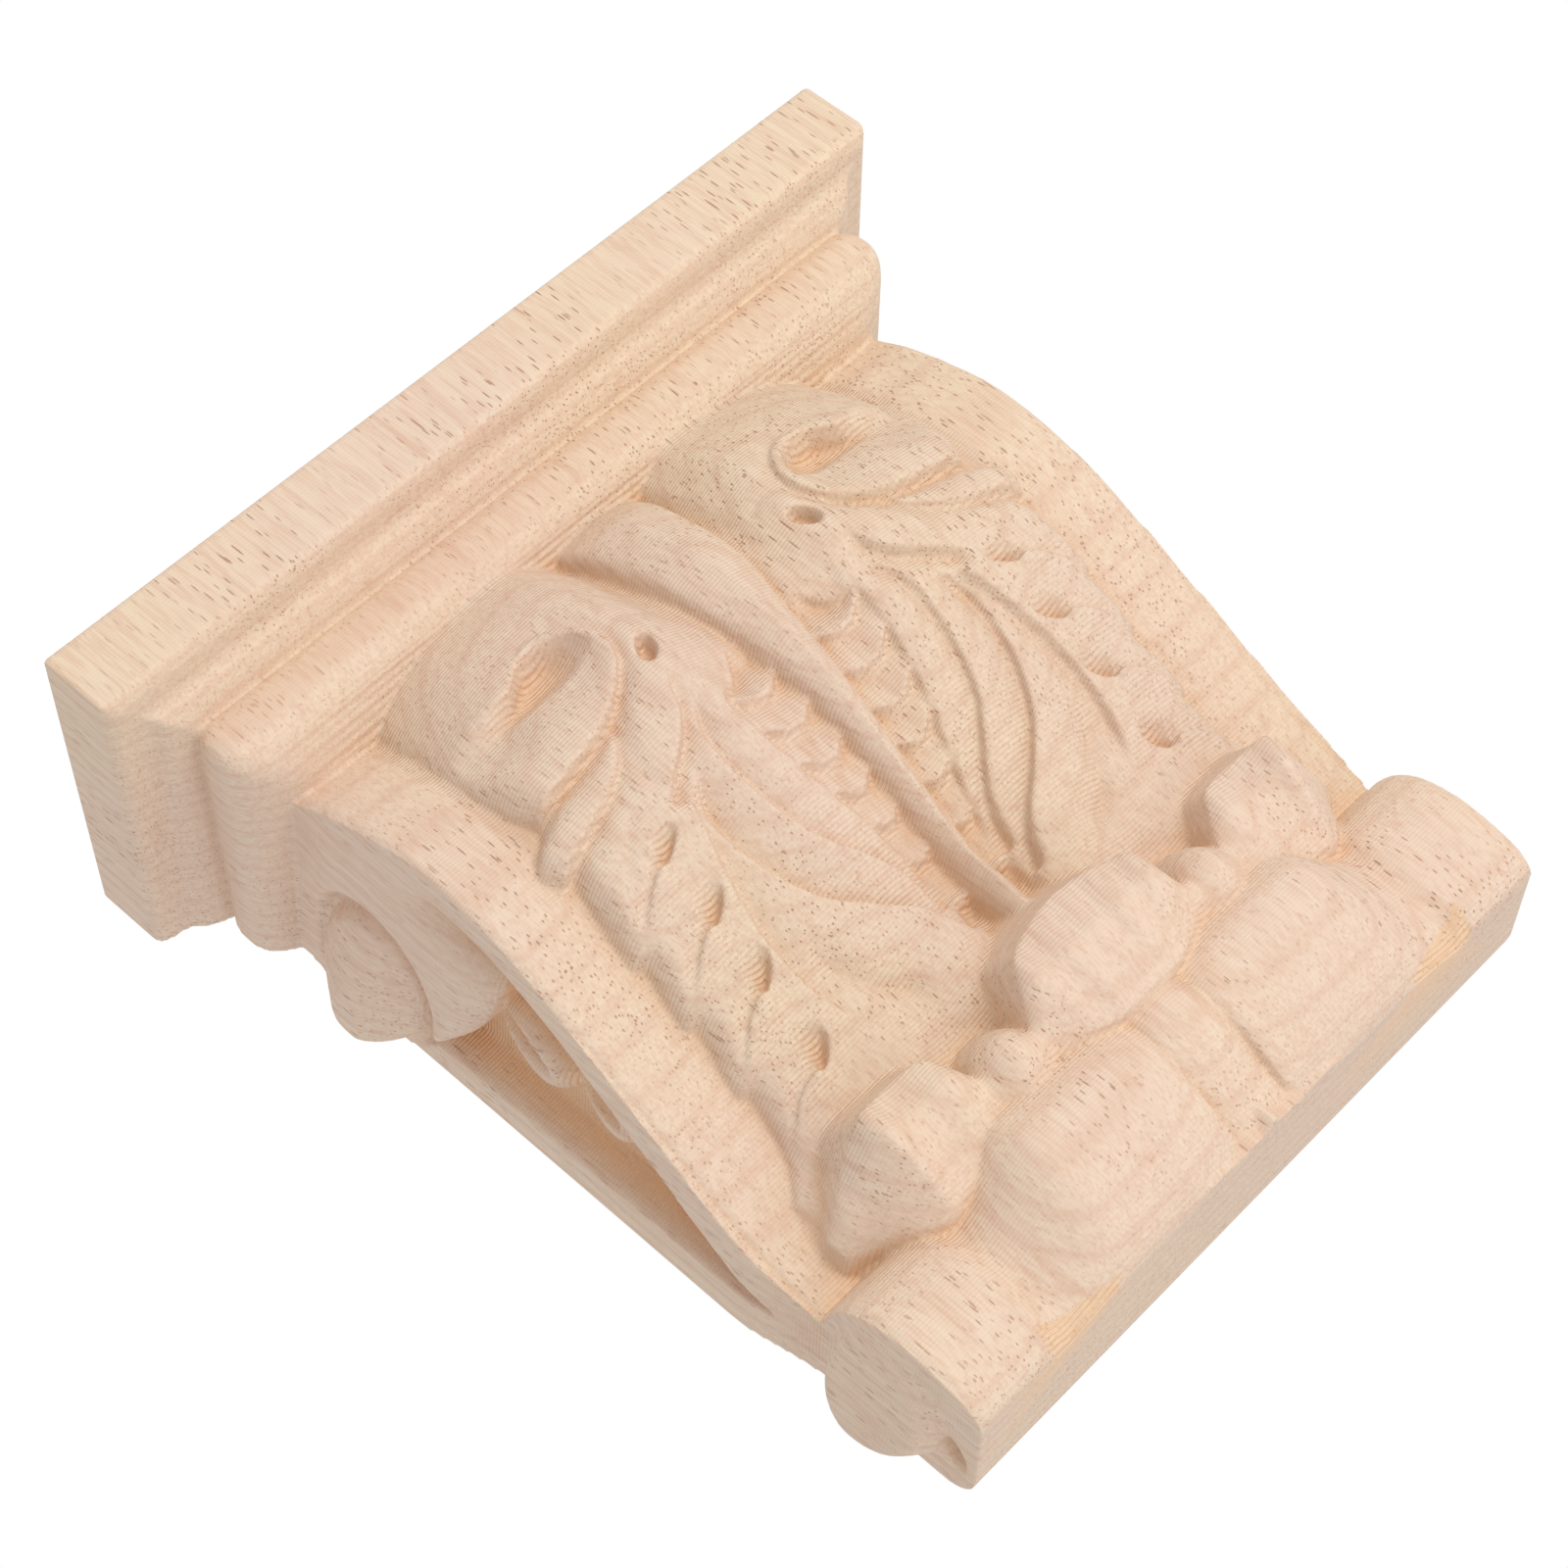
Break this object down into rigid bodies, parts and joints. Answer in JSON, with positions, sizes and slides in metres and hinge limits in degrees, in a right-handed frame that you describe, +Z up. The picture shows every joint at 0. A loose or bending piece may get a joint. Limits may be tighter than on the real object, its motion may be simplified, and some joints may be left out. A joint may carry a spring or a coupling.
{
  "type": "corbel",
  "caption": "Carved wood corbel with a moulded cap, an acanthus leaf on its S-curved front, scrolled sides and a roll at the foot.",
  "frame": {"origin": "centre of the flat back face", "axes": "+Y out of the back face, into the wall; +Z up, towards the cap; the carved front faces -Y; +X is the viewer's right when the front is seen"},
  "size_m": [0.13, 0.05, 0.1348],
  "materials": {
    "wood": "unfinished, sanded, matt"
  },
  "bodies": {
    "root": {"corbel": "wood"}
  },
  "joints": []
}
